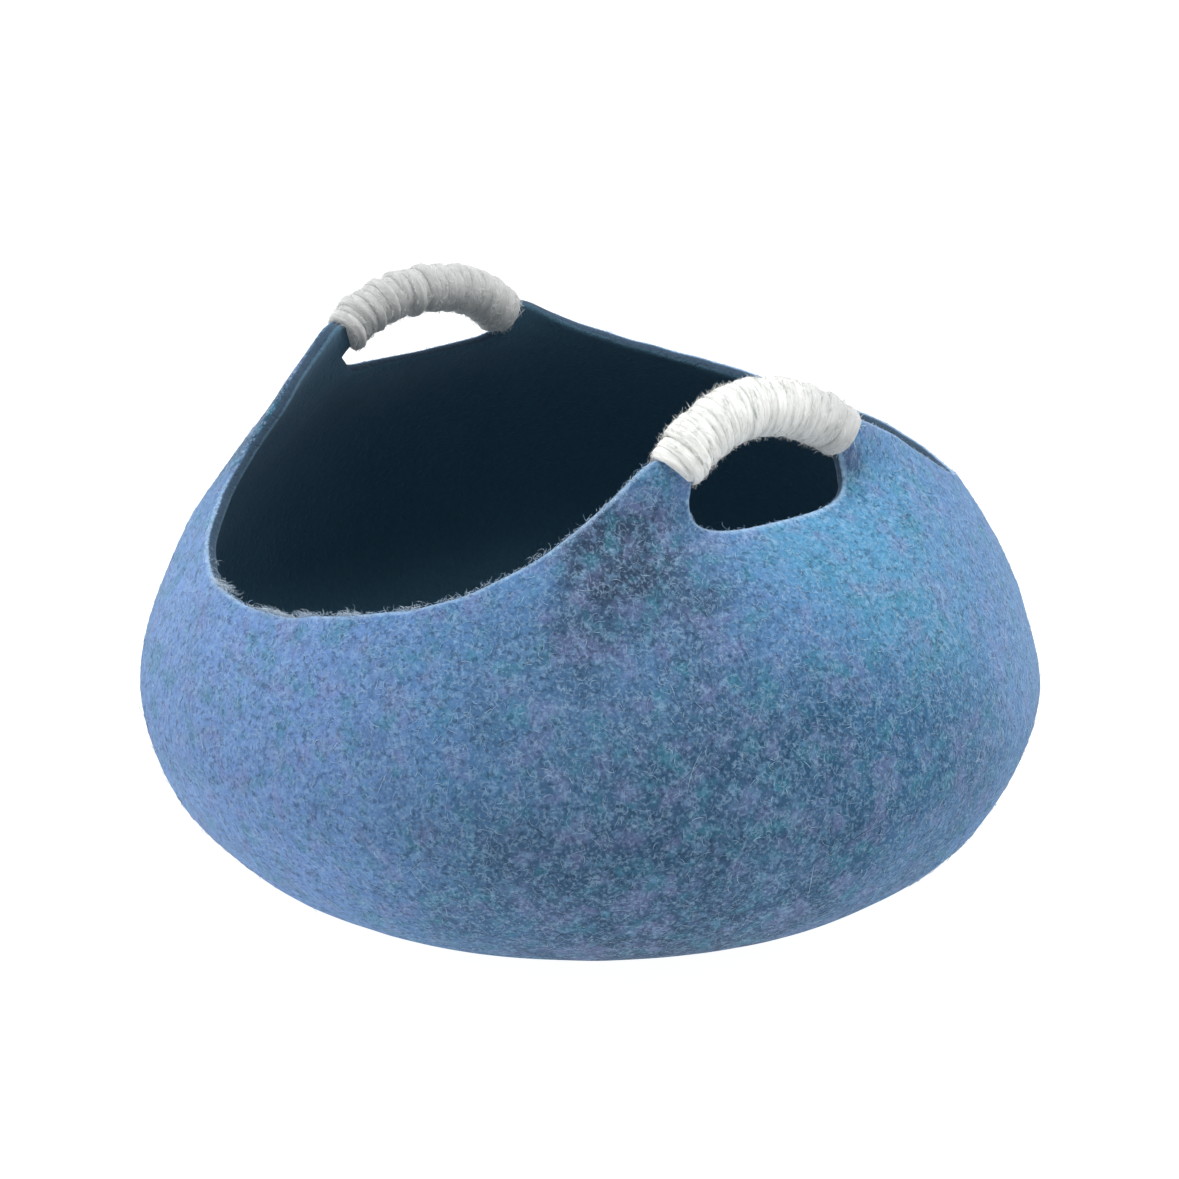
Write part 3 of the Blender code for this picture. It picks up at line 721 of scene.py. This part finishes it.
# Clumps in the blend: size (m), value where a clump starts and where it is full, share, colour.  The finer
# ones are drawn about twice as coarse as single wool locks, so that they show.
MARL = (
    (0.0130, 0.48, 0.70, 0.55, "#3b8094"),      # teal clumps
    (0.0150, 0.48, 0.70, 0.42, "#7d81b0"),      # lavender clumps
    (0.0060, 0.46, 0.74, 0.45, "#35506c"),      # slate clumps
    (0.0046, 0.46, 0.74, 0.45, "#7fa9cf"),      # light blue clumps
    (0.0021, 0.46, 0.68, 0.50, "#2d4a66"),      # navy locks
    (0.0018, 0.48, 0.70, 0.50, "#94b4d0"),      # pale locks
)
HUE_ROWS = 2                # the rows above that the plainer blend has
CURL_SIZE = 0.0034          # the locks' waves
CURL_REACH = 0.0026
LOCK_CELL = 0.0034          # pale curls follow the level lines of a pattern this coarse
KEPT_CELL = 0.0065          # size of the places with and without pale curls
PIT_CELL = 0.0027           # dark pits between the locks, painted shade of their hollows
MOTTLE_SIZE = 0.0022        # tufts of the inner face and of the cut edge
NAP_SIZE = 0.0010
FRAYED = 0.0055             # how far from a cut the fluffed-up wool reaches
LIT_LIP_REACH = 0.022                 # and the painted light on the inner lip of the left rim


def marled_felt():
    """Wet-felted merino in two layers: outside a blend of blue, teal, lavender and navy wool with pale curly
    locks and dark pits painted as shade, with painted shade low in front, beside the front neck and at the
    far end of the right slot; inside plain dark teal with painted light on the left rim's lip, and slate grey
    where the two show in a cut edge.  The eye gets a soft, dull, closely speckled surface that is paler where
    it is seen edge on."""
    material, add = new_material("marled wool felt")
    spot = add("TexCoord", out="Object")
    layer = add("Attribute", out="Fac", attribute_name="layer")
    from_edge = add("Attribute", out="Fac", attribute_name="from_edge")
    stir = add("TexNoise", {"Vector": spot, "Scale": 1 / CURL_SIZE, "Detail": 2.0}, out="Color")
    curly = add("VectorMath", {0: stir, 1: (CURL_REACH,) * 3, 2: spot}, operation='MULTIPLY_ADD')
    broad = add("TexNoise", {"Vector": spot, "Scale": 1 / PATCH_FRINGE, "Detail": 4.0})

    colour = linear("#5580b0")
    # some of these colours are painted shade, not wool
    for middle, reach, share, wool in BATTS_AND_SHADE_PATCHES:
        away = add("VectorMath", {0: spot, 1: middle}, out="Value", operation='DISTANCE')
        ragged = add("Math", {0: broad, 1: reach, 2: away}, operation='MULTIPLY_ADD')
        there = add("MapRange", {"Value": ragged, "From Min": 1.5 * reach, "From Max": 0.75 * reach,
                                 "To Max": share}, **SMOOTH)
        colour = add("Mix", {0: there, 6: colour, 7: linear(wool)}, **COLOURS)
    on_left_rim = there
    for number, (size, start, full, share, wool) in enumerate(MARL):
        moved = add("VectorMath", {0: curly, 1: (number + 1.0, -2.0 * number, 0.5)}, operation='ADD')
        clump = add("TexNoise", {"Vector": moved, "Scale": 1 / size, "Detail": 2.0, "Roughness": 0.55})
        there = add("MapRange", {"Value": clump, "From Min": start, "From Max": full, "To Max": share},
                    **SMOOTH)
        colour = add("Mix", {0: there, 6: colour, 7: linear(wool)}, **COLOURS)
        plain = colour if number < HUE_ROWS else plain

    # pale curls along level lines, some missing
    level = add("TexNoise", {"Vector": curly, "Scale": 1 / LOCK_CELL, "Detail": 1.0})
    off_line = add("Math", {0: level, 1: 0.5}, operation='SUBTRACT')
    off_line = add("Math", {0: off_line}, operation='ABSOLUTE')
    line = add("MapRange", {"Value": off_line, "From Min": 0.070, "From Max": 0.0}, **SMOOTH)
    kept = add("TexNoise", {"Vector": spot, "Scale": 1 / KEPT_CELL, "Detail": 1.0})
    kept = add("MapRange", {"Value": kept, "From Min": 0.46, "From Max": 0.62, "To Max": 0.44}, **SMOOTH)
    curl = add("Math", {0: line, 1: kept}, operation='MULTIPLY')
    colour = add("Mix", {0: curl, 6: colour, 7: linear("#9dbdd8")}, **COLOURS)

    # dark pits: painted shade in the small hollows between the locks
    shaded_pit = add("TexNoise", {"Vector": spot, "Scale": 1 / PIT_CELL, "Detail": 1.5, "Roughness": 0.6})
    shaded_pit = add("MapRange", {"Value": shaded_pit, "From Min": 0.54, "From Max": 0.70, "To Max": 0.55}, **SMOOTH)
    colour = add("Mix", {0: shaded_pit, 6: colour, 7: linear("#1c3048")}, **COLOURS)
    colour = add("Mix", {0: CALM, 6: colour, 7: plain}, **COLOURS)

    # the trimmed edge is fluffed up and paler, but for the left rim
    mottle = add("TexNoise", {"Vector": curly, "Scale": 1 / MOTTLE_SIZE, "Detail": 3.0, "Roughness": 0.65})
    frayed = add("Math", {0: mottle, 1: 0.006, 2: from_edge}, operation='MULTIPLY_ADD')
    frayed = add("MapRange", {"Value": frayed, "From Min": FRAYED, "From Max": 0.0020, "To Max": 0.80})
    frayed = add("Math", {0: frayed, 1: on_left_rim}, operation='SUBTRACT', use_clamp=True)
    colour = add("Mix", {0: frayed, 6: colour, 7: linear("#a3c2df")}, **COLOURS)

    # the inner layer, paler near a cut, and the cut itself
    inside = add("Mix", {0: mottle, 6: linear("#3c5d6e"), 7: linear("#486d82")}, **COLOURS)
    near_edge = add("MapRange", {"Value": from_edge, "From Min": 0.0, "From Max": 0.010, "To Min": 0.35,
                                 "To Max": 0.0})
    inside = add("Mix", {0: near_edge, 6: inside, 7: linear("#456072")}, **COLOURS)
    # painted light: the inner lip of the left rim is paler
    painted_lip_light = add("MapRange", {"Value": from_edge, "From Min": 0.0, "From Max": LIT_LIP_REACH, "To Min": 0.65,
                           "To Max": 0.0}, **SMOOTH)
    painted_lip_light = add("Math", {0: painted_lip_light, 1: on_left_rim}, operation='MULTIPLY')
    inside = add("Mix", {0: painted_lip_light, 6: inside, 7: linear("#64849c")}, **COLOURS)
    cut = add("Mix", {0: mottle, 6: linear("#2d3d4f"), 7: linear("#455b6f")}, **COLOURS)
    ragged = add("Math", {0: mottle, 1: 0.22, 2: layer}, operation='MULTIPLY_ADD')
    for start, full, wool in ((0.22, 0.44, cut), (0.80, 1.00, inside)):
        there = add("MapRange", {"Value": ragged, "From Min": start, "From Max": full}, **SMOOTH)
        colour = add("Mix", {0: there, 6: colour, 7: wool}, **COLOURS)

    nap = add("TexNoise", {"Vector": curly, "Scale": 1 / NAP_SIZE, "Detail": 3.0, "Roughness": 0.7})
    height = add("Math", {0: curl, 1: 0.8, 2: nap}, operation='MULTIPLY_ADD')
    height = add("Math", {0: shaded_pit, 1: -1.2, 2: height}, operation='MULTIPLY_ADD')
    bump = add("Bump", {"Height": height, "Distance": 0.0005, "Strength": 0.8})
    surface = add("BsdfPrincipled", {
        "Base Color": colour, "Normal": bump, "Roughness": 0.95, "Specular IOR Level": 0.10,
        "Sheen Weight": 0.30, "Sheen Roughness": 0.45, "Sheen Tint": linear("#c3d6f2")})
    add("OutputMaterial", {"Surface": surface})
    return material


# Hairs carded into the yarn: length and width of their streaks (m), value where one starts and where it is
# full, share, colour
CARDED = (
    (0.0140, 0.00070, 0.30, 0.70, 1.00, "#eeefec"),
    (0.0110, 0.00160, 0.48, 0.70, 0.60, "#aeb3ad"),
    (0.0080, 0.00130, 0.54, 0.72, 0.70, "#667066"),
)
GREY_PATCH = (0.025, 1 / 90)       # length and width (m) of the places where the grey ones show


def wound_wool():
    """Thick, loosely spun sheep's wool: off-white with grey and green-grey hairs carded in, which run along
    the strand.  The eye gets soft fibrous stripes, no shine and a bright fuzzy edge; one grip and the far end
    of the other are greyer, partly grey wool and partly painted shade."""
    material, add = new_material("off-white spun wool")
    run = add("UVMap", uv_map="along_yarn")
    grey_wool_and_shade = add("Attribute", out="Fac", attribute_name="grey_wool_and_shade")
    where = add("VectorMath", {0: run, 1: (1 / GREY_PATCH[0], 1 / GREY_PATCH[1], 1.0)}, operation='MULTIPLY')
    where = add("TexNoise", {"Vector": where, "Scale": 1.0, "Detail": 2.0})
    where = add("MapRange", {"Value": where, "From Min": 0.40, "From Max": 0.62}, **SMOOTH)
    colour = linear("#dadcd9")
    for number, (long, wide, start, full, share, wool) in enumerate(CARDED):
        scaled = add("VectorMath", {0: run, 1: (1 / long, 1 / wide, 1.0), 2: (3.0 * number, 0.0, 0.0)},
                     operation='MULTIPLY_ADD')
        hairs = add("TexNoise", {"Vector": scaled, "Scale": 1.0, "Detail": 3.0, "Roughness": 0.6})
        there = add("MapRange", {"Value": hairs, "From Min": start, "From Max": full, "To Max": share},
                    **SMOOTH)
        if number:
            there = add("Math", {0: there, 1: where}, operation='MULTIPLY')
        colour = add("Mix", {0: there, 6: colour, 7: linear(wool)}, **COLOURS)
    # the greyed colour is partly grey wool and partly painted shade
    greyed_and_shaded = add("Mix", {0: 0.58, 6: colour, 7: linear("#8d8f93")}, **COLOURS)
    colour = add("Mix", {0: grey_wool_and_shade, 6: colour, 7: greyed_and_shaded}, **COLOURS)
    bump = add("Bump", {"Height": hairs, "Distance": 0.0005, "Strength": 0.7})
    surface = add("BsdfPrincipled", {
        "Base Color": colour, "Normal": bump, "Roughness": 0.95, "Specular IOR Level": 0.12,
        "Subsurface Weight": 0.25, "Subsurface Radius": (0.0020, 0.0018, 0.0016), "Subsurface Scale": 1.0,
        "Sheen Weight": 0.5, "Sheen Roughness": 0.5, "Sheen Tint": linear("#ffffff")})
    add("OutputMaterial", {"Surface": surface})
    return material


def stray_wool(name, dark, light):
    """Single wool hairs, drawn several times as thick as real ones so that they show; each has one tone
    between the two given."""
    material, add = new_material(name)
    tone = add("Attribute", out="Fac", attribute_name="tone")
    colour = add("Mix", {0: tone, 6: linear(dark), 7: linear(light)}, **COLOURS)
    surface = add("BsdfPrincipled", {"Base Color": colour, "Roughness": 0.9, "Specular IOR Level": 0.2,
                                     "Sheen Weight": 0.3, "Sheen Roughness": 0.5})
    add("OutputMaterial", {"Surface": surface})
    return material


# --- studio ---
LOOK_AT = Vector((0.0, 0.0, 0.100))
CAMERA_AWAY = 2.794
CAMERA_AZIMUTH = radians(52.42)
CAMERA_ELEVATION = radians(20.09)
CAMERA_LENS = 170.5
CAMERA_SHIFT = 0.0528       # the photograph has the basket a little below its middle


def add_camera():
    """Long lens at the photograph's angle."""
    away = Vector((sin(CAMERA_AZIMUTH) * cos(CAMERA_ELEVATION), -cos(CAMERA_AZIMUTH) * cos(CAMERA_ELEVATION),
                   sin(CAMERA_ELEVATION)))
    camera = bpy.data.objects.new("camera", bpy.data.cameras.new("camera"))
    camera.data.lens = CAMERA_LENS
    camera.data.shift_y = CAMERA_SHIFT
    camera.location = LOOK_AT + away * CAMERA_AWAY
    camera.rotation_euler = (-away).to_track_quat('-Z', 'Y').to_euler()
    bpy.context.scene.collection.objects.link(camera)
    bpy.context.scene.camera = camera


def add_softbox(name, azimuth, elevation, away, size, power):
    """Square soft light that faces the basket."""
    light = bpy.data.objects.new(name, bpy.data.lights.new(name, 'AREA'))
    light.data.size = size
    light.data.energy = power
    a, e = radians(azimuth), radians(elevation)
    toward = Vector((sin(a) * cos(e), -cos(a) * cos(e), sin(e)))
    light.location = LOOK_AT + toward * away
    light.rotation_euler = (-toward).to_track_quat('-Z', 'Y').to_euler()
    bpy.context.scene.collection.objects.link(light)


def add_studio():
    """Milky glass table lit from below, and soft light from both sides and above."""
    material, add = new_material("white light table")
    surface = add("BsdfPrincipled", {"Base Color": linear("#8c8c8c"), "Roughness": 0.9,
                                     "Specular IOR Level": 0.1, "Emission Color": linear("#ffffff"),
                                     "Emission Strength": 0.96})
    add("OutputMaterial", {"Surface": surface})
    reach = np.linspace(-9.0, 9.0, 13)
    x, y = np.meshgrid(reach, reach, indexing="ij")
    points = np.stack([x.ravel(), y.ravel(), np.full(x.size, -0.0004)], axis=-1)
    index = np.arange(x.size).reshape(x.shape)
    quads = np.stack([index[:-1, :-1], index[1:, :-1], index[1:, 1:], index[:-1, 1:]], axis=-1).reshape(-1, 4)
    make_piece("studio_floor", points, [quads], material)
    world = bpy.data.worlds.new("studio")
    world.use_nodes = True
    background = world.node_tree.nodes["Background"]
    background.inputs["Color"].default_value = linear("#ffffff")
    background.inputs["Strength"].default_value = 0.32
    bpy.context.scene.world = world
    add_softbox("left softbox", -55, 30, 2.6, 1.6, 32)
    add_softbox("right softbox", 160, 35, 2.6, 1.6, 16)
    add_softbox("top softbox", 100, 80, 2.6, 1.6, 70)
    bpy.context.scene.view_settings.view_transform = 'Standard'


# --- the whole basket ---
def fit(piece, slot, *nodes):
    """Rides on the one body and stands for its CAD nodes, which it hides; the slot is not used."""
    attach(piece, "root")
    if nodes:
        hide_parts(*nodes)


add_camera()
add_studio()
felt = marled_felt()
wool = wound_wool()
pale_hair = stray_wool("pale blue wool hairs", "#5f86ad", "#a9c6de")
wisp_hair = stray_wool("white-blue wool wisps", "#7896b2", "#dbe6ef")
edge_hair = stray_wool("pale wool hairs of the trimmed edge", "#86aace", "#d3e2f0")
white_hair = stray_wool("white wool hairs", "#b9bbb6", "#ffffff")
shell, outer_grid, inner_grid, shell_normals, whole_cells, bowl_keys, slot_columns = felt_shell(felt)
fit(shell, "blue_felt", "felt_bowl")
fit(loose_fibres(outer_grid, shell_normals, whole_cells, pale_hair), "blue_felt")
fit(rim_wisps(outer_grid, inner_grid, bowl_keys, wisp_hair), "blue_felt")
fit(edge_nap(outer_grid, shell_normals, slot_columns, edge_hair), "blue_felt")
for number, grip_handle in enumerate(HANDLES):
    winding, wound_surface = wound_grip(grip_handle, wool, 40 + 100 * number)
    fit(winding, "pale_yarn", "grip_yarn_" + grip_handle.name)
    fit(yarn_fuzz(grip_handle, wound_surface, white_hair, 31 + number), "pale_yarn")
